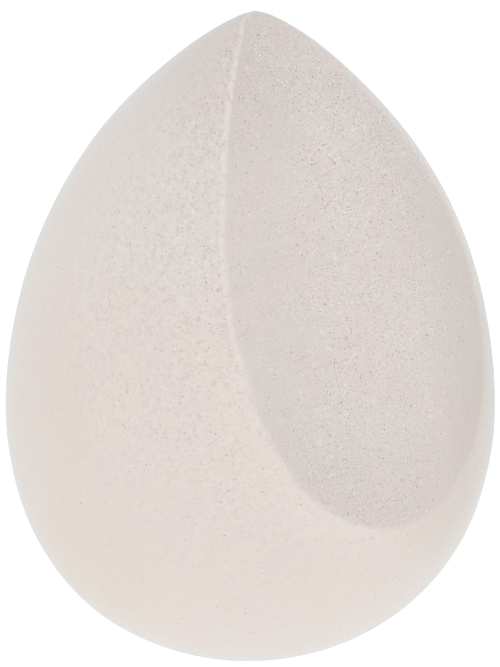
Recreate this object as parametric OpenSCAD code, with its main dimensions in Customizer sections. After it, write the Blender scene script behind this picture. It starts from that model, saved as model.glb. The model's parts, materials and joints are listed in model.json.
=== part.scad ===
// Teardrop make-up sponge with one flat cut, moulded and cut as a single piece of open-cell foam.
// Millimetres, +Z up through the tip. The origin is the middle of the foot that it stands on,
// and the flat faces -Y, leaning back towards the tip.

/* [Body] */
// Widest diameter of the body
body_d = 42; // [36:0.5:50]
// Height from the foot to the tip
body_h = 62.5; // [56:0.5:72]
// Radius of the blunt tip
tip_r = 2; // [1:0.25:4]
// Depth of the foot that is pressed flat on the round end
foot_depth = 0.5; // [0.3:0.1:1]

/* [Flat cut] */
// Height above the widest ring at which the flat runs out at the side
flat_end_rise = 1; // [0:0.25:8]
// Distance below the tip at which the flat crosses the upright axis
flat_drop = 0.2; // [0.1:0.1:1.5]

/* [Hidden] */
// Pale pinkish off-white of the foam
foam_color = [0.89, 0.85, 0.82];
// Sides of every circle
$fn = 180;

// The round end is half a ball, so the belly lies one radius above its uncut bottom
body_r = body_d / 2;
belly_z = body_r - foot_depth;

// The tip's ball stands this share of its radius proud of the shoulder, so that the two cross cleanly
tip_proud_share = 0.005;

// The shoulder is one arc, upright at the belly, that would just touch a ball a little smaller than the tip's
tip_z = body_h - tip_r;
touch_r = tip_r * (1 - tip_proud_share);
shoulder_rise = tip_z - belly_z;
shoulder_r = (body_r ^ 2 + shoulder_rise ^ 2 - touch_r ^ 2) / (2 * (body_r - touch_r));
shoulder_angle = atan2(shoulder_rise, shoulder_r - body_r);
touch_z = tip_z + touch_r * sin(shoulder_angle);

// Radius of the shoulder at a height z above the belly
function shoulder_at(z) = sqrt(shoulder_r ^ 2 - (z - belly_z) ^ 2) - (shoulder_r - body_r);

// The flat starts near the tip and leans out to meet the side at its low end
flat_top_z = body_h - flat_drop;
flat_low_z = belly_z + flat_end_rise;
flat_lean = atan2(shoulder_at(flat_low_z), flat_top_z - flat_low_z);

// Part of a circle that lies on the right of the axis, between two heights
module slice(radius, centre, low_z, high_z) {
    intersection() {
        translate(centre) circle(r = radius);
        translate([0, low_z]) square([body_d, high_z - low_z]);
    }
}

// Half of the body's outline: round end, shoulder and blunt tip
module outline() {
    slice(body_r, [0, belly_z], 0, belly_z);
    slice(shoulder_r, [body_r - shoulder_r, belly_z], belly_z, touch_z);
    slice(tip_r, [0, tip_z], tip_z, body_h);
}

// Everything in front of the flat
module beyond_flat() {
    reach = body_d + body_h;
    translate([0, 0, flat_top_z]) rotate([-flat_lean, 0, 0])
        translate([-reach / 2, -reach, -reach]) cube([reach, reach, 2 * reach]);
}

module foam_body() {
    color(foam_color) difference() {
        rotate_extrude() outline();
        beyond_flat();
    }
}

foam_body();
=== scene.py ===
"""Looks of a teardrop make-up sponge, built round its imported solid.

The sponge is one closed skin of points laid over the solid's own shape: even points on the moulded
skin and on the flat cut, rows of points along the rounded rim between them, and a small real pit for
each larger pore. The finest pores are in the material. Metres, and degrees where a name says so.
"""

import json
import math
from types import SimpleNamespace

import bpy
import numpy as np
from mathutils import Matrix, Vector, kdtree
from mathutils.geometry import delaunay_2d_cdt

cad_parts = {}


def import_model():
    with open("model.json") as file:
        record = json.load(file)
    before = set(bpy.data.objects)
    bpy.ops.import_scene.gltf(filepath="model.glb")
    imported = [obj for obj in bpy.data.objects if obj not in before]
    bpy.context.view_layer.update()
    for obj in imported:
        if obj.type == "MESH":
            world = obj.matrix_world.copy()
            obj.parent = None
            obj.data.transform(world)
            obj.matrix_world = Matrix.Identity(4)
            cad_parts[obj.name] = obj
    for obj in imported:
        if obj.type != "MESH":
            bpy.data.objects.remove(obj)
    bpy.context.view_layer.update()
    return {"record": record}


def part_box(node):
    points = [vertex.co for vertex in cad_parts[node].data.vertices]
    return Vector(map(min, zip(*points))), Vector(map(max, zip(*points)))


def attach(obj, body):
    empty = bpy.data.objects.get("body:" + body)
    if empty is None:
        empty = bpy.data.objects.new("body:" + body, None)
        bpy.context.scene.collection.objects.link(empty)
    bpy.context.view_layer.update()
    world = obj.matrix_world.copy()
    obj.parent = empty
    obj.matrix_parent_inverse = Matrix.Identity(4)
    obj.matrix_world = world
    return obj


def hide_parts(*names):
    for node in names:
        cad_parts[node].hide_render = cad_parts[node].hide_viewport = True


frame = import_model()

MM = 0.001
TINY = 1e-9
SEED = 7

# The solid's own shape: half a ball below the belly, one shoulder arc above it, and a small ball at the tip
TIP_R = 2 * MM
FOOT_DEPTH = 0.5 * MM
LOW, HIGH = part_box("foam_body")
BODY_R = (HIGH.x - LOW.x) / 2
BELLY_Z = BODY_R - FOOT_DEPTH
TIP_RISE = HIGH.z - TIP_R - BELLY_Z
SHOULDER_R = (BODY_R**2 + TIP_RISE**2 - TIP_R**2) / (2 * (BODY_R - TIP_R))
TOUCH_RISE = TIP_RISE * SHOULDER_R / (SHOULDER_R - TIP_R)

# Each arc's centre off the axis, its centre above the belly, and its radius
ARCS = np.array([(0, 0, BODY_R), (BODY_R - SHOULDER_R, 0, SHOULDER_R), (0, TIP_RISE, TIP_R)])

# The flat cut: a point in its middle, the way it faces, and its own two directions
flat_side = next(mount for mount in frame["record"]["mounts"] if mount["name"] == "flat_side")
FLAT_POINT = np.array(flat_side["pos_m"])
FLAT_OUT = np.array(flat_side["axis"])
FLAT_X = np.array([1.0, 0.0, 0.0])
FLAT_UP = np.cross(FLAT_OUT, FLAT_X)

# How many mm deeper the hand-made cut lies near its rim, by clock angle in degrees from +X towards the tip
FLAT_WAVES = [
    (0, 0.0), (78, 0.0), (88, 0.55), (92, 0.5), (95, 0.17), (104, 0.0), (121, -0.1), (148, -0.1),
    (166, -0.12), (177, 0.0), (188, -0.06), (202, 0.0), (236, 0.18), (251, 0.0), (270, -0.12), (286, -0.05),
    (300, 0.15), (330, 0.0), (360, 0.0),
]
WAVE_REACH = 13 * MM

# Where the soft skin stands out from its even outline, or lies below it: a place on it, how far, and how
# wide, in mm
SKIN_SWELLS = [
    ((-16.5, 2.5, 7.8), 0.24, 6),
    ((-16.3, 12.7, 17.0), -0.24, 5),
    ((5.4, -17.4, 10.0), 0.12, 8),
    ((12.2, -16.7, 16.9), -0.13, 4),
    ((15.5, -9.5, 37.0), 0.14, 9),
]

# The shoulder is a little slimmer than its arc round this height above the belly
SLIM_DEPTH = 0.2 * MM
SLIM_RISE = 32.5 * MM
SLIM_REACH = 6 * MM

# Radius of the rounded rim, and the low ripples of the whole skin
RIM_R = 0.6 * MM
RIPPLE_DEPTH = 0.03 * MM
RIPPLE_LENGTH = 9 * MM

# The rim's rounding is worked out as if skin and cut never faced more alike than this
FACING_MOST = 0.98

# Spacing of the points, and how far each strays from its even place
SKIN_GAP = 0.52 * MM
FLAT_GAP = 0.42 * MM
STRAY_SHARE = 0.25
RIM_STEP = 0.2 * MM
RIM_ROWS = np.array([0, 0.12, 0.25, 0.42]) * MM
RIM_CLEAR = 0.62 * MM
BOTTOM_CLEAR = SKIN_GAP / 2

# How finely lines and slopes are worked out, and how often a search is repeated. Where the surface faces up
# or down more than the steep value, its own directions are found from +X
RIM_TURN = 0.5
OUTLINE_STEPS = 4001
SLOPE_STEP = 0.01 * MM
HALVINGS = 40
SETTLE_ROUNDS = 4
STEEP = 0.9

# Pores: radius of the smallest and the largest opening, how much small ones prevail, the most there may be
# in an area, the height above which they start, how deep they are, and how dark the shade painted in them is
SKIN_PORE_R = np.array([0.07, 0.12]) * MM
FLAT_PORE_R = np.array([0.05, 0.1]) * MM
PORE_SMALLNESS = 2
PORES_EACH_AREA = 7 / MM**2
PORES_ABOVE = 2 * MM
FLAT_PORE_DEPTH_SHARE = 0.9
SKIN_PORE_DEPTH_SHARE = 0.4
PORE_SHADE = 0.04
PORE_SHADE_GAIN = 0.2
PORE_SHADE_CHANCE = 0.15
SKIN_PORE_SHADE_SHARE = 0.3

# Some pits of the skin have deeper painted shade, as darker specks: how many, and how dark
SPECK_CHANCE = 0.32
SPECK_SHADE = (0.45, 0.95)

# The corners of an opening, its lip and unevenness, and the room round a pore
PORE_SIDES = 6
PORE_LIP = 0.01 * MM
PORE_UNEVEN_SHARE = 0.25
PORE_APART = 0.03 * MM
PORE_CLEAR = 0.2 * MM

# How open the foam is: sizes of its patches, and for the cut its level and how much each patch adds, how that
# falls with each metre to the right, and the share that is left at the low end
FINE_PATCH = 1.1 * MM
BROAD_PATCH = 4 * MM
FLAT_OPEN = (0.77, 0.03, 0.01)
FLAT_OPEN_SLOPE = -12
FLAT_LOW_SHARE = 0.6
FLAT_LOW_FADE = np.array([24, 54]) * MM

# The cut is less open on its left part, up to a line that leans to the right towards the tip, but a little
# less so at the tip itself
FLAT_LEFT_SHARE = 0.44
FLAT_LEFT_TIP_SHARE = 0.68
FLAT_LEFT_FADE = np.array([-8.5, -0.3]) * MM
FLAT_LEFT_LEAN = 0.45
FLAT_TIP_FADE = np.array([54, 57]) * MM

# It is less open beside its right rim too, except high up
FLAT_EDGE_SHARE = 0.42
FLAT_EDGE_FADE = np.array([0, 8]) * MM
FLAT_EDGE_X_FADE = np.array([-2, 6]) * MM
FLAT_EDGE_Z_FADE = np.array([40, 48]) * MM

# The skin has its own level and patches. It is more closed low down, and more open high up and beside the rim
SKIN_OPEN = (0.55, 0.06, 0.05)
LOW_OPEN_SHARE = 0.27
LOW_OPEN_FADE = np.array([17.4, 31.8]) * MM
LOW_OPEN_LEFT_RISE = np.array([4, 12]) * MM
UPPER_OPEN_GAIN = 0.1
UPPER_OPEN_FADE = np.array([38, 52]) * MM
RIM_OPEN_GAIN = 0.15
RIM_OPEN_REACH = 5 * MM

# The chance of a pore is the first share of the openness plus the second share of its square
FLAT_PORE_SHARES = (0, 0.55)
SKIN_PORE_SHARES = (0.34, -0.05)

# The side where the skin is most closed, as a turn from +X, the share that is closed there, and how far that
# reaches in degrees: to the front low down and high up, to the back, and for the lowest skin
CLOSED_SIDE = 135
CLOSED_SHARE = 0.86
CLOSED_FRONT_WIDTHS = (52, 32)
CLOSED_FRONT_FADE = np.array([30, 48]) * MM
CLOSED_BACK_WIDTH = 95
CLOSED_LOW_WIDTH = 60

# The point inside from which every point of the surface is seen
HEART = np.array([0, 0.2 * BODY_R, BELLY_Z + 0.3 * BODY_R])

# About how large the skin is, how far the flat reaches at most, and the turn from point to point of a spiral
SKIN_AREA = 2 * math.pi * BODY_R * (BODY_R + 0.75 * TIP_RISE)
FLAT_REACH = 1.3 * BODY_R
GOLDEN_ANGLE = math.pi * (3 - math.sqrt(5))

# Colours as they show on a screen
SKIN_COLOUR = (227.7, 218.1, 212.3)
CUT_COLOUR = (220, 211.3, 208.2)
# Painted shade in the pores, also the dark of the grain
PORE_SHADE_AND_GRAIN_COLOUR = (157, 138, 132)
# Painted highlight round the fine pores, also the pale of the grain and of open foam
WALL_HIGHLIGHT_AND_PALE_COLOUR = (252, 244.5, 241)
SHADE_COLOUR = (200, 191, 187)
# The ridge's painted highlight, also used for the paler skin beside the flat's low end
RIDGE_HIGHLIGHT_COLOUR = (246, 240, 234)
RIGHT_SHADE_COLOUR = (200, 194.5, 189.5)
LOW_RIGHT_SHADE_COLOUR = (202, 191, 182)
WARM_COLOUR = (226, 218, 206)
ROSY_COLOUR = (229, 213, 212)

# Each span from here on says where an effect starts and where it is full. X and Z spans are places in metres.
# Spans beside the rim are in mm, above 0 on the cut and below 0 on the skin. Shares say how strong it is.

# The rim's line wanders in spots of these sizes, by up to about half these mm
RIM_WANDERS = [(0.45 * MM, 0.13), (1.8 * MM, 0.2)]

# The skin's tone goes over into the cut's: quickly low down, softly in the upper part and on the upper right
TONE_FADE = (-0.3, 0.2)
SOFT_TONE_FADE = (-0.1, 1.1)
UPPER_Z = np.array([34, 40]) * MM
UPPER_RIGHT_X = np.array([0, 5]) * MM
UPPER_RIGHT_Z = np.array([27, 37]) * MM

# The whole foam is mottled: size and share of each kind of mottle
MOTTLES = [(4.5 * MM, 0.3), (1.5 * MM, 0.25)]
MOTTLE_SPAN = (0.45, 0.72)

# The skin has wide soft patches of another tone, partly painted light: warmer light from below low on the
# left, and a cool sheen high up towards the edges. For each, a place in mm, how far from it in mm they start
# and are full, colour and share
TONE_AND_LIGHT_PATCHES = [
    ((-20.3, -1.5, 16), (11, 2), (224, 214, 201), 0.5),
    ((-18.1, 4.9, 29.8), (11, 2), (224, 214, 206), 0.4),
    ((-11.2, 1, 50.8), (13, 3), (221, 219, 216), 0.36),
    ((15.2, -5.8, 43), (12, 0), (228, 225, 220), 0.25),
]

# The tip is darker
TIP_Z = np.array([50, 61]) * MM
TIP_SHARE = 0.3

# Painted shade darkens the flat beside its rim too, most on its right side and low down, and hardly at the
# tip
MARGIN_RISE = (0.1, 0.5)
MARGIN_FALL = (9.5, 0.6)
MARGIN_X = np.array([-2, 10]) * MM
MARGIN_LOW_Z = np.array([40, 28]) * MM
MARGIN_TIP_Z = np.array([61, 53]) * MM
MARGIN_LEFT_SHARE = 0.05
MARGIN_LOW_SHARE = 0.55
MARGIN_TIP_SHARE = 0.2
MARGIN_SHADE_SHARE = 0.44
RIGHT_SHADE_Z = np.array([25, 33]) * MM

# The flat is a touch darker towards its left side too, most at the tip
LEFT_X = np.array([2, -9]) * MM
LEFT_SHARE = 0.06
TIP_LEFT_X = np.array([3, -3]) * MM
TIP_LEFT_Z = np.array([50, 59]) * MM
TIP_LEFT_SHARE = 0.32

# Below the low end of the flat, on the left, the skin beside the rim is a touch paler
LOW_RIM_EDGE = (-5, -0.6)
LOW_RIM_X = np.array([0, -4]) * MM
LOW_RIM_Z = np.array([42, 37]) * MM
LOW_RIM_SHARE = 0.1

# On the flat's left side, a painted highlight runs down the ridge from the tip, broken here and there. The
# ridge also closes the foam
RIDGE_RISE = (-0.5, -0.15)
RIDGE_FALL = (0.34, 0.0)
RIDGE_X = np.array([1, 0]) * MM
RIDGE_Z = np.array([35, 42]) * MM
RIDGE_TIP_Z = np.array([48, 61]) * MM
RIDGE_HIGHLIGHT_SHARES = (0.25, 0.42)
HIGHLIGHT_GAP_SIZE = 1.6 * MM
HIGHLIGHT_GAP_SPAN = (0.3, 0.55)
HIGHLIGHT_GAP_SHARES = (0.7, 1)
RIDGE_CLOSED = (1.0, 0.2)
RIDGE_CLOSED_SHARE = 0.7

# Open foam is a little paler as a whole
LIFT_SHARE = 0.12

# Painted shade on the narrow strip of skin on the right of the flat, most low down
STRIP_RISE = (-10, -1)
STRIP_FALL = (0.1, -0.1)
STRIP_X = np.array([-7, 6]) * MM
STRIP_Z = np.array([40, 31]) * MM
STRIP_UPPER_SHADE_SHARE = 0.05
STRIP_SHADE_SHARE = 0.36

# Tones of the cut are softly uneven
SOFT_SIZE = 0.5 * MM
SOFT_SPAN = (0.35, 0.65)
SOFT_SHARE = 0.05

# The skin's soft grain, which is weaker where the foam is closed
SKIN_GRAIN_SIZE = 0.5 * MM
SKIN_GRAIN_DETAIL = 2
SKIN_GRAIN_ROUGHNESS = 0.95
SKIN_GRAIN_PALE = (0.5, 0.25)
SKIN_GRAIN_DARK = (0.48, 0.78)
SKIN_GRAIN_PALE_SHARE = 0.34
SKIN_GRAIN_DARK_SHARE = 0.35
SKIN_GRAIN_OPEN = (0, 0.9)
SKIN_GRAIN_CLOSED_SHARE = 0.16

# The finest pores are dots of painted shade in rings of painted highlight, of two sizes, more of them weak as
# the rarity rises, strayed and in clusters
SMALL_CELL = 0.18 * MM
LARGE_CELL = 0.32 * MM
SMALL_RARITY = 2.3
LARGE_RARITY = 3
DOT_DARK = (0.42, 0.12)
DOT_PALE_RISE = (0.3, 0.48)
DOT_PALE_FALL = (0.8, 0.5)
WARP_SIZE = 0.15 * MM
WARP_REACH = 0.3 * MM
CLUSTER_SIZE = 0.9 * MM
CLUSTER_SPAN = (0.4, 0.6)
CLUSTER_SHARES = (0.65, 1.05)

# How strong the small and the large dots are, how pale their rings of painted highlight, and the most that a
# ring may be
CUT_DOTS = (2.6, 0.6)
SKIN_DOTS = (0.4, 0.7)
PALE_SHARES = (0.5, 0.25)
PALE_MOST = 0.6

# A still finer grain, mostly on the cut
GRAIN_SIZE = 0.13 * MM
GRAIN_DETAIL = 1
GRAIN_DARK = (0.5, 0.72)
GRAIN_LIGHT = (0.5, 0.28)
GRAIN_DARK_SHARE = 0.14
GRAIN_LIGHT_SHARE = 0.2
GRAIN_SKIN_SHARE = 0.2

# Each noise is moved by an offset of its own, so that no two have the same spots
OFFSETS = {
    "large dots": 0.2, "warm": 0.3, "soft": 0.5, "clusters": 0.6, "rosy": 0.7, "skin grain": 0.8,
    "highlight_gaps": 0.9,
}
NOISE_MIDDLE = 0.5

# The shader's bump, roughness and sheen
BUMP_DEPTH = 0.02 * MM
BUMP_STRENGTH = 0.8
ROUGH_SIZE = 0.6 * MM
ROUGH_SPAN = (0.3, 0.7)
ROUGHNESS = (0.84, 0.96)
SPECULAR = 0.02
SHEEN = 0.5
SHEEN_ROUGHNESS = 0.35
SHEEN_TINT = (0.72, 0.93, 1.0, 1.0)

# The photograph's camera. The point looked at shows at this pixel of the photograph
IMAGE_SIZE = (500, 667)
LOOK_PIXEL = (249.65, 389.04)
LOOK_POINT = Vector((0, 0, 23.5 * MM))
CAMERA_AZIMUTH = -45.76
CAMERA_ELEVATION = 38.07
CAMERA_ROLL = -1.02
CAMERA_DISTANCE = 0.6
FOCAL_PIXELS = 7014
SENSOR = 36
CAMERA_CLIP = (0.01, 50)

# Light and floor
SKY_LIGHT = 0.912
FLOOR_GLOW = 0.906
FLOOR_PALE = 0.2
FLOOR_SIZE = 6
FLOOR_GAP = 0.02 * MM
WHITE = (1, 1, 1, 1)

rng = np.random.default_rng(SEED)


def length(vectors):
    return np.linalg.norm(vectors, axis=-1, keepdims=True)


def unit(vectors):
    return vectors / np.maximum(length(vectors), TINY)


def ease(share):
    """0 to 1 with a soft start and end."""
    share = np.clip(share, 0, 1)
    return share * share * (3 - 2 * share)


def fade(values, ends):
    """0 at the first of ends and before it, 1 at the second and after it, and soft between."""
    return ease((values - ends[0]) / (ends[1] - ends[0]))


def between(share, first, second):
    return first + (second - first) * share


def patches(points, size, seed, waves=14):
    """Smooth random field, about as often above 0 as below, whose patches are about that size."""
    draw = np.random.default_rng(seed)
    direction = unit(draw.normal(size=(waves, 3)))
    phase = draw.uniform(0, 2 * math.pi, waves)
    return np.cos(points @ direction.T * (math.pi / size) + phase).sum(1) / math.sqrt(waves / 2)


def arc_at(rise):
    """Which arc of the outline holds each height above the belly."""
    return ARCS[(rise > 0).astype(int) + (rise > TOUCH_RISE)].T


def skin(points):
    """Signed distance from the uncut teardrop, and the outward direction."""
    radius = np.hypot(points[:, 0], points[:, 1])
    rise = points[:, 2] - BELLY_Z
    centre_r, centre_rise, arc_r = arc_at(rise)
    out = np.stack([radius - centre_r, rise - centre_rise], 1)
    around = points[:, :2] / np.maximum(radius, TINY)[:, None]
    reach = length(out)
    across, up = (out / reach).T
    depth = reach[:, 0] - arc_r + SLIM_DEPTH * np.exp(-(((rise - SLIM_RISE) / SLIM_REACH) ** 2))
    for middle, height, wide in SKIN_SWELLS:
        away = length(points / MM - middle)[:, 0]
        depth = depth - height * MM * np.exp(-((away / wide) ** 2))
    return depth, np.column_stack([around * across[:, None], up])


def flat_clock(points):
    """Clock angle of points round the middle of the flat, in degrees, and how far out they lie."""
    across = (points - FLAT_POINT) @ FLAT_X
    upward = (points - FLAT_POINT) @ FLAT_UP
    return np.degrees(np.arctan2(upward, across)) % 360, np.hypot(across, upward)


def flat(points):
    """Signed distance from the cut, which waves a little near its rim."""
    clock, out = flat_clock(points)
    angles, depths = np.array(FLAT_WAVES).T
    after = np.clip(np.searchsorted(angles, clock), 1, len(angles) - 1)
    share = ease((clock - angles[after - 1]) / (angles[after] - angles[after - 1]))
    depth = depths[after - 1] + share * (depths[after] - depths[after - 1])
    return (points - FLAT_POINT) @ FLAT_OUT + depth * MM * np.clip(out / WAVE_REACH, 0, 1) ** 2


def sponge(points):
    """Signed distance from the whole sponge: the cut teardrop with its rim rounded, standing on its foot."""
    body, body_out = skin(points)
    body = body + patches(points, RIPPLE_LENGTH, SEED) * RIPPLE_DEPTH + RIM_R
    cut = flat(points) + RIM_R
    facing = np.clip(body_out @ FLAT_OUT, -FACING_MOST, FACING_MOST)
    at_rim = (cut > body * facing) & (body > cut * facing)
    squared = np.maximum(body**2 + cut**2 - 2 * body * cut * facing, 0) / (1 - facing**2)
    depth = np.where(at_rim, np.sqrt(squared), np.maximum(body, cut)) - RIM_R
    return np.maximum(depth, -points[:, 2])


def outward(points):
    """Outward direction of the sponge's surface near each point."""
    steps = np.eye(3) * SLOPE_STEP
    return unit(np.stack([sponge(points + step) - sponge(points - step) for step in steps], 1))


def settle(points):
    """Moves points straight onto the sponge's surface, and gives the outward direction there."""
    for _ in range(SETTLE_ROUNDS):
        points = points - outward(points) * sponge(points)[:, None]
    return points, outward(points)


def skin_spots(share, turn):
    """Places on the uncut teardrop, by the share of its area that lies below and the turn round its axis."""
    rise = np.linspace(-BODY_R, TIP_RISE + TIP_R, OUTLINE_STEPS)[1:-1]
    centre_r, centre_rise, arc_r = arc_at(rise)
    half = np.sqrt(np.maximum(arc_r**2 - (rise - centre_rise) ** 2, TINY**2))
    area = np.cumsum((centre_r + half) * arc_r / half)
    height = np.interp(share, area / area[-1], rise)
    radius = np.interp(height, rise, centre_r + half)
    return np.column_stack([radius * np.cos(turn), radius * np.sin(turn), height + BELLY_Z])


def flat_spots(across, upward):
    """Places on the plane of the flat, by how far they lie from its middle in its own two directions."""
    return FLAT_POINT + across.reshape(-1, 1) * FLAT_X + upward.reshape(-1, 1) * FLAT_UP


def even_spots():
    """Points spread evenly: a golden-angle spiral on the skin, and staggered rows on the flat."""
    count = int(SKIN_AREA / SKIN_GAP**2)
    order = np.arange(count)
    over_skin = skin_spots((order + 0.5) / count, order * GOLDEN_ANGLE)
    column = np.arange(-FLAT_REACH, FLAT_REACH, FLAT_GAP)
    row = np.arange(-FLAT_REACH, FLAT_REACH, FLAT_GAP * math.sqrt(3) / 2)
    across, upward = np.meshgrid(column, row)
    across[1::2] += FLAT_GAP / 2
    over_flat = flat_spots(across, upward)
    over_skin += rng.uniform(-1, 1, over_skin.shape) * SKIN_GAP * STRAY_SHARE
    over_flat += rng.uniform(-1, 1, over_flat.shape) * FLAT_GAP * STRAY_SHARE
    return on_sponge(over_skin, over_flat)


def random_spots():
    """Points strewn at random over the skin and the flat, as many as there could ever be pores."""
    count = int(SKIN_AREA * PORES_EACH_AREA)
    over_skin = skin_spots(rng.uniform(size=count), rng.uniform(0, 2 * math.pi, count))
    count = int((2 * FLAT_REACH) ** 2 * PORES_EACH_AREA)
    over_flat = flat_spots(*rng.uniform(-FLAT_REACH, FLAT_REACH, (2, count)))
    return on_sponge(over_skin, over_flat)


def on_sponge(over_skin, over_flat):
    """The points of the skin that the cut leaves, and those of the flat that lie inside the skin."""
    return np.vstack([over_skin[flat(over_skin) < 0], over_flat[skin(over_flat)[0] < 0]])


def rim_line():
    """The sharp line in which the cut and the skin would meet, as even steps round the flat."""
    turn = np.radians(np.arange(0, 360, RIM_TURN))[:, None]
    ray = np.cos(turn) * FLAT_X + np.sin(turn) * FLAT_UP
    near, far = np.zeros((len(turn), 1)), np.full((len(turn), 1), 2 * BODY_R)
    for _ in range(HALVINGS):
        middle = (near + far) / 2
        inside = skin(FLAT_POINT + ray * middle)[0][:, None] < 0
        near, far = np.where(inside, middle, near), np.where(inside, far, middle)
    line = FLAT_POINT + ray * near
    for _ in range(SETTLE_ROUNDS):
        body, body_out = skin(line)
        cut, facing = flat(line), body_out @ FLAT_OUT
        along_body = (body - facing * cut) / (1 - facing**2)
        along_cut = (cut - facing * body) / (1 - facing**2)
        line = line - body_out * along_body[:, None] - FLAT_OUT * along_cut[:, None]
    closed = np.vstack([line, line[:1]])
    travelled = np.concatenate([[0], np.cumsum(length(np.diff(closed, axis=0)))])
    steps = np.arange(0, travelled[-1] - RIM_STEP / 2, RIM_STEP)
    return np.column_stack([np.interp(steps, travelled, closed[:, axis]) for axis in range(3)])


def rim_rows(line):
    """Rows of points beside the rim, on the flat and on the skin."""
    along = unit(np.roll(line, -1, 0) - np.roll(line, 1, 0))
    inward = np.cross(FLAT_OUT, along)
    away = np.cross(along, skin(line)[1])
    rows = [line]
    for gap in RIM_ROWS[1:]:
        rows += [line + inward * gap, line + away * gap]
    return np.vstack(rows)


def rim_distance(points, rim):
    """How far points are from the rim: above 0 on the flat, below 0 on the skin."""
    away = nearest(points, rim)
    return np.where(flat(points) > skin(points)[0], away, -away)


def openness(points, edge):
    """How open the foam is at each point, 0 to 1: most on the cut, and less on the skin."""
    fine, broad = patches(points, FINE_PATCH, SEED + 1), patches(points, BROAD_PATCH, SEED + 2)
    fields = np.stack([np.ones(len(points)), fine, broad])
    x, y, z = points.T
    upward = (points - FLAT_POINT) @ FLAT_UP
    on_flat = np.clip(FLAT_OPEN @ fields + FLAT_OPEN_SLOPE * x, 0, 1)
    least = between(fade(z, FLAT_TIP_FADE), FLAT_LEFT_SHARE, FLAT_LEFT_TIP_SHARE)
    on_flat = on_flat * between(fade(x - FLAT_LEFT_LEAN * upward, FLAT_LEFT_FADE), least, 1)
    near_edge = 1 - fade(edge, FLAT_EDGE_FADE)
    near_edge = near_edge * fade(x, FLAT_EDGE_X_FADE) * (1 - fade(z, FLAT_EDGE_Z_FADE))
    low_end = 1 - fade(z, FLAT_LOW_FADE)
    on_flat = on_flat * between(near_edge, 1, FLAT_EDGE_SHARE) * between(low_end, 1, FLAT_LOW_SHARE)

    around = np.degrees(np.arctan2(y, x))
    from_closed = (around - CLOSED_SIDE + 180) % 360 - 180
    front_width = between(fade(z, CLOSED_FRONT_FADE), *CLOSED_FRONT_WIDTHS)
    width = np.where(from_closed > 0, front_width, CLOSED_BACK_WIDTH)
    closed = 1 - CLOSED_SHARE * np.exp(-((from_closed / width) ** 2))
    low_closed = np.exp(-((from_closed / CLOSED_LOW_WIDTH) ** 2))
    low_start = LOW_OPEN_FADE[0] + LOW_OPEN_LEFT_RISE[0] * low_closed
    low_stop = LOW_OPEN_FADE[1] + LOW_OPEN_LEFT_RISE[1] * low_closed
    low = between(fade(z, (low_start, low_stop)), LOW_OPEN_SHARE, 1)
    near_rim = 1 + RIM_OPEN_GAIN * np.exp(edge / RIM_OPEN_REACH) * (1 - 2 * low_end)
    upper = 1 + UPPER_OPEN_GAIN * fade(z, UPPER_OPEN_FADE)
    on_skin = np.clip(SKIN_OPEN @ fields, 0, 1) * closed * low * near_rim * upper
    return np.where(edge > 0, on_flat, np.minimum(on_skin, 1))


def keep_apart(points, rooms):
    """Which points stay when they are taken in turn, each only where its room is clear of those before it."""
    cell = 2 * rooms.max()
    near = [(a, b, c) for a in (-1, 0, 1) for b in (-1, 0, 1) for c in (-1, 0, 1)]
    grid, kept = {}, []
    for index, (point, room) in enumerate(zip(points.tolist(), rooms.tolist())):
        x, y, z = (math.floor(value / cell) for value in point)
        others = [other for a, b, c in near for other in grid.get((x + a, y + b, z + c), ())]
        if all(math.dist(point, place) > room + other_room for place, other_room in others):
            grid.setdefault((x, y, z), []).append((point, room))
            kept.append(index)
    return np.array(kept)


def nearest(points, tree):
    """How far each point is from the nearest point of a tree."""
    return np.array([tree.find(point)[2] for point in points])


def tree_of(points):
    tree = kdtree.KDTree(len(points))
    for index, point in enumerate(points):
        tree.insert(point, index)
    tree.balance()
    return tree


def pore_rings(centres, out, radii):
    """The corners of each pore's opening, a row for each pore."""
    flatter = np.abs(out[:, 2:]) < STEEP
    side = unit(np.cross(out, np.where(flatter, (0, 0, 1), (1, 0, 0))))
    other = np.cross(out, side)
    turn = np.arange(PORE_SIDES) * 2 * math.pi / PORE_SIDES + rng.uniform(0, 2 * math.pi, (len(centres), 1))
    reach = radii[:, None] * (1 + rng.uniform(-1, 1, turn.shape) * PORE_UNEVEN_SHARE)
    across = (reach * np.cos(turn))[..., None] * side[:, None]
    return centres[:, None] + across + (reach * np.sin(turn))[..., None] * other[:, None]


def closed_faces(points):
    """Triangles over points that the heart sees all round. The last point is the one straight below it."""
    x, y, z = unit(points - HEART).T
    spread = np.column_stack([x, y])[:-1] / (1 + z[:-1])[:, None]
    found = delaunay_2d_cdt([Vector(p) for p in spread.tolist()], [], [], 0, 0)
    if len(found[0]) != len(spread):
        raise ValueError("two points of the surface fell together")
    faces = [tuple(face) for face in found[2]]
    edges = {(face[k - 1], face[k]) for face in faces for k in range(3)}
    return faces + [(b, a, len(spread)) for a, b in edges if (b, a) not in edges]


def pick_pores(rim):
    """Middles, outward directions and radii of the pores, and which are on the flat. None lies in another."""
    spots = random_spots()
    edge = rim_distance(spots, rim)
    level = openness(spots, edge)
    share, square_share = np.where((edge > 0)[:, None], FLAT_PORE_SHARES, SKIN_PORE_SHARES).T
    chance = level * share + level**2 * square_share
    taken = rng.uniform(size=len(spots)) < chance
    taken &= (np.abs(edge) > RIM_CLEAR) & (spots[:, 2] > PORES_ABOVE)
    spots, edge = spots[taken], edge[taken]
    least, most = np.where((edge > 0)[:, None], FLAT_PORE_R, SKIN_PORE_R).T
    radii = least + (most - least) * rng.uniform(size=len(spots)) ** PORE_SMALLNESS
    apart = keep_apart(spots, radii + PORE_APART)
    middles, out = settle(spots[apart])
    return middles, out, radii[apart], edge[apart] > 0


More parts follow.
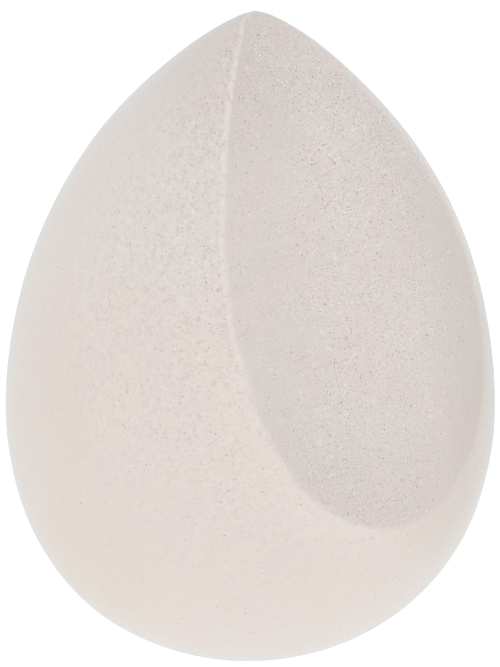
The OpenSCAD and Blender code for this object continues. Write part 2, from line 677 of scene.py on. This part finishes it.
def sharpen_openings(mesh, pores):
    """Marks the edge round each pit as sharp, so that the skin beside it is lit as smooth."""
    corners = np.empty(len(mesh.loops), dtype=np.int32)
    mesh.loops.foreach_get("vertex_index", corners)
    loop_edges = np.empty(len(mesh.loops), dtype=np.int32)
    mesh.loops.foreach_get("edge_index", loop_edges)
    ends = np.empty(2 * len(mesh.edges), dtype=np.int32)
    mesh.edges.foreach_get("vertices", ends)
    in_pit = (corners.reshape(-1, 3) < pores).any(1)
    sharp = np.zeros(len(mesh.edges), dtype=bool)
    sharp[loop_edges.reshape(-1, 3)[in_pit]] = True
    sharp &= (ends.reshape(-1, 2) >= pores).all(1)
    mesh.attributes.new("sharp_edge", "BOOLEAN", "EDGE").data.foreach_set("value", sharp)


def build_foam():
    """The sponge's mesh, with what the material reads at each point."""
    line = rim_line()
    rim = tree_of(line)
    rows, _ = settle(rim_rows(line))
    middles, out, radii, on_flat = pick_pores(rim)
    openings, open_out = settle(pore_rings(middles, out, radii).reshape(-1, 3))

    fill, _ = settle(even_spots())
    bottom = np.array([[HEART[0], HEART[1], 0]])
    clear = (nearest(fill, tree_of(middles)) > PORE_CLEAR) & (nearest(fill, rim) > RIM_CLEAR)
    fill = fill[clear & (length(fill - bottom)[:, 0] > BOTTOM_CLEAR)]

    smooth = np.vstack([middles, openings, fill, rows, bottom])
    shaped = smooth.copy()
    pores, open_end = len(middles), len(middles) + len(openings)
    depth_share = np.where(on_flat, FLAT_PORE_DEPTH_SHARE, SKIN_PORE_DEPTH_SHARE)
    shaped[:pores] -= out * (radii * depth_share)[:, None]
    shaped[pores:open_end] += open_out * PORE_LIP
    size = (radii - radii.min()) / (radii.max() - radii.min())
    # Painted shade at the bottom of each pit, deeper in some pits of the skin
    dark = np.zeros(len(smooth))
    dark[:pores] = PORE_SHADE + PORE_SHADE_GAIN * size + rng.uniform(0, PORE_SHADE_CHANCE, pores)
    dark[:pores] *= np.where(on_flat, 1, SKIN_PORE_SHADE_SHARE)
    speck = ~on_flat & (rng.uniform(size=pores) < SPECK_CHANCE)
    dark[:pores] = np.where(speck, rng.uniform(*SPECK_SHADE, pores), dark[:pores])

    mesh = bpy.data.meshes.new("foam_sponge")
    mesh.from_pydata(shaped.tolist(), [], closed_faces(smooth))
    mesh.shade_smooth()
    sharpen_openings(mesh, pores)
    edge = rim_distance(smooth, rim)
    for name, values in (("pore", dark), ("edge", edge / MM), ("open", openness(smooth, edge))):
        mesh.attributes.new(name, "FLOAT", "POINT").data.foreach_set("value", values.astype(np.float32))
    piece = bpy.data.objects.new("foam_sponge", mesh)
    bpy.context.scene.collection.objects.link(piece)
    return piece


def node(tree, kind, inputs=None, **settings):
    """A new shader node with its settings made and its inputs set or linked."""
    made = tree.nodes.new("ShaderNode" + kind)
    for name, value in settings.items():
        setattr(made, name, value)
    for name, value in (inputs or {}).items():
        if isinstance(value, bpy.types.NodeSocket):
            tree.links.new(value, made.inputs[name])
        else:
            made.inputs[name].default_value = value
    return made


def colour(shown):
    """A colour given as it shows on a screen, 0 to 255, turned into light."""
    shown = np.array(shown) / 255
    light = np.where(shown > 0.04045, ((shown + 0.055) / 1.055) ** 2.4, shown / 12.92)
    return (*light.tolist(), 1.0)


def ramp(tree, value, span, low=0.0, high=1.0):
    """A value that goes softly from low to high as the input goes from the start of the span to its end."""
    made = node(tree, "MapRange", {"Value": value}, interpolation_type="SMOOTHSTEP")
    for name, number in (("From Min", span[0]), ("From Max", span[1]), ("To Min", low), ("To Max", high)):
        made.inputs[name].default_value = number
    return made.outputs["Result"]


def blend(tree, share, first, second):
    """The first colour where share is 0, and the second where it is 1."""
    made = node(tree, "Mix", data_type="RGBA")
    for name, value in (("Factor_Float", share), ("A_Color", first), ("B_Color", second)):
        socket = next(s for s in made.inputs if s.identifier == name)
        if isinstance(value, bpy.types.NodeSocket):
            tree.links.new(value, socket)
        else:
            socket.default_value = colour(value)
    return next(s for s in made.outputs if s.identifier == "Result_Color")


def maths(tree, kind, first, second):
    return node(tree, "Math", {0: first, 1: second}, operation=kind).outputs[0]


def times(tree, *values):
    """The product of two or more values."""
    product = values[0]
    for value in values[1:]:
        product = maths(tree, "MULTIPLY", product, value)
    return product


def blend_numbers(tree, share, first, second):
    """The first number where share is 0, and the second where it is 1."""
    return maths(tree, "ADD", times(tree, share, second - first), first)


def moved(tree, place, offset):
    return node(tree, "VectorMath", {0: place, 1: (offset, offset, offset)}, operation="ADD").outputs[0]


def noise(tree, place, size, detail=2.0, offset=0.0, roughness=0.5):
    """Soft random values round 0.5 whose spots are about that size."""
    spots = {"Vector": moved(tree, place, offset), "Scale": 1 / size}
    return node(tree, "TexNoise", {**spots, "Detail": detail, "Roughness": roughness}).outputs["Fac"]


def warped(tree, place, size, reach):
    """The place, strayed to and fro within about half that reach in spots of that size."""
    spots = node(tree, "TexNoise", {"Vector": place, "Scale": 1 / size, "Detail": 0.0}).outputs["Color"]
    stray = node(tree, "VectorMath", {0: spots, 1: (NOISE_MIDDLE,) * 3}, operation="SUBTRACT").outputs[0]
    stray = node(tree, "VectorMath", {0: stray, "Scale": reach}, operation="SCALE").outputs[0]
    return node(tree, "VectorMath", {0: place, 1: stray}, operation="ADD").outputs[0]


def dots(tree, place, cell, rarity, offset=0.0):
    """Fine pores, about one to a cell of that size: how dark the shade painted in them is, and how pale the
    highlight painted round them.

    The higher the rarity, the fewer of them are strong.
    """
    made = node(tree, "TexVoronoi", {"Vector": moved(tree, place, offset), "Scale": 1 / cell}, feature="F1")
    chance = node(tree, "SeparateColor", {"Color": made.outputs["Color"]}).outputs["Red"]
    strong = maths(tree, "POWER", chance, rarity)
    away = made.outputs["Distance"]
    pale = times(tree, ramp(tree, away, DOT_PALE_RISE), ramp(tree, away, DOT_PALE_FALL), strong)
    return times(tree, ramp(tree, away, DOT_DARK), strong), pale


def new_material(name):
    """An empty node material, and its tree."""
    material = bpy.data.materials.new(name)
    material.use_nodes = True
    tree = material.node_tree
    tree.nodes.clear()
    return material, tree


def read_surface(tree):
    """What the material knows of each spot: its place, the shade painted in its pit, and how open and how
    near the rim it is.
    """
    place = node(tree, "TexCoord").outputs["Object"]
    x, _, z = node(tree, "SeparateXYZ", {0: place}).outputs
    pore = node(tree, "Attribute", attribute_name="pore").outputs["Fac"]
    openness_here = node(tree, "Attribute", attribute_name="open").outputs["Fac"]
    edge = node(tree, "Attribute", attribute_name="edge").outputs["Fac"]
    for size, reach in RIM_WANDERS:
        stray = maths(tree, "SUBTRACT", noise(tree, place, size, offset=size), NOISE_MIDDLE)
        edge = maths(tree, "ADD", edge, times(tree, stray, reach))

    upper_right = times(tree, ramp(tree, z, UPPER_RIGHT_Z), ramp(tree, x, UPPER_RIGHT_X))
    upper = maths(tree, "MAXIMUM", ramp(tree, z, UPPER_Z), upper_right)
    lower = maths(tree, "SUBTRACT", 1.0, upper)
    quick, slow = ramp(tree, edge, TONE_FADE), ramp(tree, edge, SOFT_TONE_FADE)
    on_cut = maths(tree, "ADD", times(tree, slow, upper), times(tree, quick, lower))
    on_skin = maths(tree, "SUBTRACT", 1.0, on_cut)
    right_shade = blend(tree, ramp(tree, z, RIGHT_SHADE_Z), LOW_RIGHT_SHADE_COLOUR, RIGHT_SHADE_COLOUR)
    return SimpleNamespace(
        place=place, x=x, z=z, pore=pore, openness=openness_here, edge=edge, on_cut=on_cut, on_skin=on_skin,
        right_shade=right_shade,
    )


def plain_tint(tree, at):
    """The skin's colour and the cut's, mottled, with the skin's wide patches of another tone, partly painted
    light.
    """
    tint = blend(tree, at.on_cut, SKIN_COLOUR, CUT_COLOUR)
    for size, share in MOTTLES:
        for name, tone in (("warm", WARM_COLOUR), ("rosy", ROSY_COLOUR)):
            mottle = ramp(tree, noise(tree, at.place, size, offset=OFFSETS[name]), MOTTLE_SPAN, 0, share)
            tint = blend(tree, mottle, tint, tone)
    for middle, (far, near), tone, share in TONE_AND_LIGHT_PATCHES:
        middle = tuple(value * MM for value in middle)
        away = node(tree, "VectorMath", {0: at.place, 1: middle}, operation="DISTANCE").outputs["Value"]
        patch = ramp(tree, away, (far * MM, near * MM), 0, share)
        tint = blend(tree, times(tree, patch, at.on_skin), tint, tone)
    return tint


def shade_by_place(tree, at, tint):
    """Darkens the tip and the flat's left side, paints shade on the flat beside its rim, most on its right
    side, and pales the skin beside the flat's low end.
    """
    tint = blend(tree, ramp(tree, at.z, TIP_Z, 0, TIP_SHARE), tint, SHADE_COLOUR)

    # Painted shade on the flat beside its rim
    on_right = ramp(tree, at.x, MARGIN_X, MARGIN_LEFT_SHARE, 1)
    low_down = ramp(tree, at.z, MARGIN_LOW_Z, 0, MARGIN_LOW_SHARE)
    side = maths(tree, "MAXIMUM", on_right, low_down)
    not_tip = ramp(tree, at.z, MARGIN_TIP_Z, MARGIN_TIP_SHARE, 1)
    near_rim = times(tree, ramp(tree, at.edge, MARGIN_RISE), ramp(tree, at.edge, MARGIN_FALL))
    tint = blend(tree, times(tree, near_rim, side, not_tip, MARGIN_SHADE_SHARE), tint, at.right_shade)

    left = ramp(tree, at.x, LEFT_X, 0, LEFT_SHARE)
    tip_left = times(tree, ramp(tree, at.x, TIP_LEFT_X), ramp(tree, at.z, TIP_LEFT_Z), TIP_LEFT_SHARE)
    tint = blend(tree, times(tree, maths(tree, "MAXIMUM", left, tip_left), at.on_cut), tint, SHADE_COLOUR)

    low_rim = times(tree, ramp(tree, at.edge, LOW_RIM_EDGE), at.on_skin, ramp(tree, at.x, LOW_RIM_X))
    low_rim = times(tree, low_rim, ramp(tree, at.z, LOW_RIM_Z), LOW_RIM_SHARE)
    return blend(tree, low_rim, tint, RIDGE_HIGHLIGHT_COLOUR)


def add_ridge_highlight(tree, at, tint):
    """Adds the painted highlight along the ridge, and gives how open the foam is once the ridge has closed
    it.
    """
    # Painted highlight along the ridge, broken here and there
    side = times(tree, ramp(tree, at.x, RIDGE_X), ramp(tree, at.z, RIDGE_Z))
    highlight_gaps = noise(tree, at.place, HIGHLIGHT_GAP_SIZE, offset=OFFSETS["highlight_gaps"])
    highlight_gaps = ramp(tree, highlight_gaps, HIGHLIGHT_GAP_SPAN, *HIGHLIGHT_GAP_SHARES)
    ridge = times(tree, ramp(tree, at.edge, RIDGE_RISE), ramp(tree, at.edge, RIDGE_FALL), side, highlight_gaps)
    ridge = times(tree, ridge, ramp(tree, at.z, RIDGE_TIP_Z, *RIDGE_HIGHLIGHT_SHARES))
    tint = blend(tree, ridge, tint, RIDGE_HIGHLIGHT_COLOUR)
    beside = times(tree, ramp(tree, at.edge, RIDGE_CLOSED), ramp(tree, at.edge, TONE_FADE))
    closed = times(tree, beside, side, RIDGE_CLOSED_SHARE)
    still_open = maths(tree, "MAXIMUM", maths(tree, "SUBTRACT", at.openness, closed), 0.0)
    return blend(tree, times(tree, still_open, LIFT_SHARE), tint, WALL_HIGHLIGHT_AND_PALE_COLOUR), still_open


def add_soft_tones(tree, at, tint):
    """Adds painted shade on the strip beside the flat, the cut's soft unevenness and the skin's soft grain.
    """
    # Painted shade on the skin beside the flat's right rim
    beside = times(tree, ramp(tree, at.edge, STRIP_RISE), ramp(tree, at.edge, STRIP_FALL))
    strip_shade = times(tree, beside, ramp(tree, at.x, STRIP_X))
    strip_shade = times(tree, strip_shade, ramp(tree, at.z, STRIP_Z, STRIP_UPPER_SHADE_SHARE, STRIP_SHADE_SHARE))
    tint = blend(tree, strip_shade, tint, at.right_shade)

    soft = ramp(tree, noise(tree, at.place, SOFT_SIZE, offset=OFFSETS["soft"]), SOFT_SPAN, 0, SOFT_SHARE)
    tint = blend(tree, times(tree, soft, at.on_cut), tint, SHADE_COLOUR)

    offset = OFFSETS["skin grain"]
    grain = noise(tree, at.place, SKIN_GRAIN_SIZE, SKIN_GRAIN_DETAIL, offset, SKIN_GRAIN_ROUGHNESS)
    level = times(tree, ramp(tree, at.openness, SKIN_GRAIN_OPEN, SKIN_GRAIN_CLOSED_SHARE, 1), at.on_skin)
    pale = times(tree, ramp(tree, grain, SKIN_GRAIN_PALE), level, SKIN_GRAIN_PALE_SHARE)
    dark = times(tree, ramp(tree, grain, SKIN_GRAIN_DARK), level, SKIN_GRAIN_DARK_SHARE)
    tint = blend(tree, pale, tint, WALL_HIGHLIGHT_AND_PALE_COLOUR)
    return blend(tree, dark, tint, PORE_SHADE_AND_GRAIN_COLOUR)


def add_fine_pores(tree, at, tint, still_open):
    """Adds dots of painted shade in rings of painted highlight over a finer grain, and gives how high the
    foam stands between them.
    """
    clusters = noise(tree, at.place, CLUSTER_SIZE, offset=OFFSETS["clusters"])
    level = times(tree, still_open, ramp(tree, clusters, CLUSTER_SPAN, *CLUSTER_SHARES))
    small = blend_numbers(tree, at.on_cut, SKIN_DOTS[0], CUT_DOTS[0])
    large = blend_numbers(tree, at.on_cut, SKIN_DOTS[1], CUT_DOTS[1])
    strayed = warped(tree, at.place, WARP_SIZE, WARP_REACH)
    small_dark, small_pale = dots(tree, strayed, SMALL_CELL, SMALL_RARITY)
    large_dark, large_pale = dots(tree, strayed, LARGE_CELL, LARGE_RARITY, OFFSETS["large dots"])
    dark = maths(tree, "ADD", times(tree, small_dark, small), times(tree, large_dark, large))
    small_pale = times(tree, small_pale, small, PALE_SHARES[0])
    large_pale = times(tree, large_pale, large, PALE_SHARES[1])
    pale = times(tree, maths(tree, "ADD", small_pale, large_pale), level)

    grain = noise(tree, at.place, GRAIN_SIZE, GRAIN_DETAIL)
    grain_level = times(tree, still_open, maths(tree, "MAXIMUM", at.on_cut, GRAIN_SKIN_SHARE))
    grain_light = ramp(tree, grain, GRAIN_LIGHT, 0, GRAIN_LIGHT_SHARE)
    grain_dark = ramp(tree, grain, GRAIN_DARK, 0, GRAIN_DARK_SHARE)
    tint = blend(tree, times(tree, grain_light, grain_level), tint, WALL_HIGHLIGHT_AND_PALE_COLOUR)
    tint = blend(tree, times(tree, grain_dark, grain_level), tint, PORE_SHADE_AND_GRAIN_COLOUR)
    tint = blend(tree, maths(tree, "MINIMUM", pale, PALE_MOST), tint, WALL_HIGHLIGHT_AND_PALE_COLOUR)
    tint = blend(tree, times(tree, dark, level), tint, PORE_SHADE_AND_GRAIN_COLOUR)
    high = maths(tree, "SUBTRACT", maths(tree, "SUBTRACT", 1.0, grain), dark)
    return tint, times(tree, high, level)


def foam_material():
    """Open-cell foam: a closed, paler skin, a slightly darker cut face, and pores darker still."""
    material, tree = new_material("foam_open_cell")
    at = read_surface(tree)
    tint = shade_by_place(tree, at, plain_tint(tree, at))
    tint, still_open = add_ridge_highlight(tree, at, tint)
    tint = add_soft_tones(tree, at, tint)
    tint, height = add_fine_pores(tree, at, tint, still_open)
    # Painted shade at the bottom of each pit
    tint = blend(tree, at.pore, tint, PORE_SHADE_AND_GRAIN_COLOUR)

    bump = node(tree, "Bump", {"Height": height, "Strength": BUMP_STRENGTH, "Distance": BUMP_DEPTH})
    rough = ramp(tree, noise(tree, at.place, ROUGH_SIZE), ROUGH_SPAN, *ROUGHNESS)
    shader = node(tree, "BsdfPrincipled", {
        "Base Color": tint, "Roughness": rough, "Normal": bump.outputs["Normal"],
        "Specular IOR Level": SPECULAR, "Sheen Weight": SHEEN, "Sheen Roughness": SHEEN_ROUGHNESS,
        "Sheen Tint": SHEEN_TINT,
    })
    node(tree, "OutputMaterial", {"Surface": shader.outputs[0]})
    return material


def camera():
    """The photograph's view: from above and to the left of the flat, turned a little about its own axis."""
    azimuth, elevation, roll = (math.radians(a) for a in (CAMERA_AZIMUTH, CAMERA_ELEVATION, CAMERA_ROLL))
    back = Vector((
        math.sin(azimuth) * math.cos(elevation),
        -math.cos(azimuth) * math.cos(elevation),
        math.sin(elevation),
    ))
    right = Vector((math.cos(azimuth), math.sin(azimuth), 0))
    up = back.cross(right)
    level_right = right * math.cos(roll) - up * math.sin(roll)
    level_up = right * math.sin(roll) + up * math.cos(roll)
    per_pixel = CAMERA_DISTANCE / FOCAL_PIXELS
    middle = Vector((IMAGE_SIZE[0] / 2, IMAGE_SIZE[1] / 2))
    aside = (middle - Vector(LOOK_PIXEL)) * per_pixel
    eye = LOOK_POINT + back * CAMERA_DISTANCE
    aim = LOOK_POINT + level_right * aside.x - level_up * aside.y
    away = (eye - aim).normalized()
    level_right = level_up.cross(away).normalized()
    level_up = away.cross(level_right)
    data = bpy.data.cameras.new("camera")
    data.sensor_width = SENSOR
    data.lens = FOCAL_PIXELS * SENSOR / max(IMAGE_SIZE)
    data.clip_start, data.clip_end = CAMERA_CLIP
    eye_piece = bpy.data.objects.new("camera", data)
    turn = Matrix((level_right, level_up, away)).transposed().to_4x4()
    eye_piece.matrix_world = Matrix.Translation(eye) @ turn
    bpy.context.scene.collection.objects.link(eye_piece)
    bpy.context.scene.camera = eye_piece


def floor():
    """A wide white table that glows a little, so that it shows white and keeps a faint shadow."""
    mesh = bpy.data.meshes.new("floor")
    half = FLOOR_SIZE / 2
    corners = [(-half, -half), (half, -half), (half, half), (-half, half)]
    mesh.from_pydata([(x, y, -FLOOR_GAP) for x, y in corners], [], [(0, 1, 2, 3)])
    piece = bpy.data.objects.new("floor", mesh)
    bpy.context.scene.collection.objects.link(piece)
    material, tree = new_material("floor_white")
    base = node(tree, "BsdfDiffuse", {"Color": (*[FLOOR_PALE] * 3, 1)}).outputs[0]
    glow = node(tree, "Emission", {"Color": WHITE, "Strength": FLOOR_GLOW}).outputs[0]
    both = node(tree, "AddShader", {0: base, 1: glow}).outputs[0]
    node(tree, "OutputMaterial", {"Surface": both})
    mesh.materials.append(material)


def world():
    """Even soft light from all round, seen as white by the camera and in reflections."""
    made = bpy.data.worlds.new("world")
    made.use_nodes = True
    tree = made.node_tree
    tree.nodes.clear()
    path = node(tree, "LightPath").outputs
    seen = maths(tree, "MAXIMUM", path["Is Camera Ray"], path["Is Glossy Ray"])
    seen = maths(tree, "MAXIMUM", seen, path["Is Transmission Ray"])
    strength = node(tree, "MapRange", {"Value": seen, "To Min": SKY_LIGHT, "To Max": 1.0}).outputs["Result"]
    sky = node(tree, "Background", {"Color": WHITE, "Strength": strength}).outputs[0]
    node(tree, "OutputWorld", {"Surface": sky})
    bpy.context.scene.world = made


camera()
world()
floor()
foam = build_foam()
foam.data.materials.append(foam_material())
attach(foam, "root")
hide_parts("foam_body")
bpy.context.scene.view_settings.view_transform = "Standard"
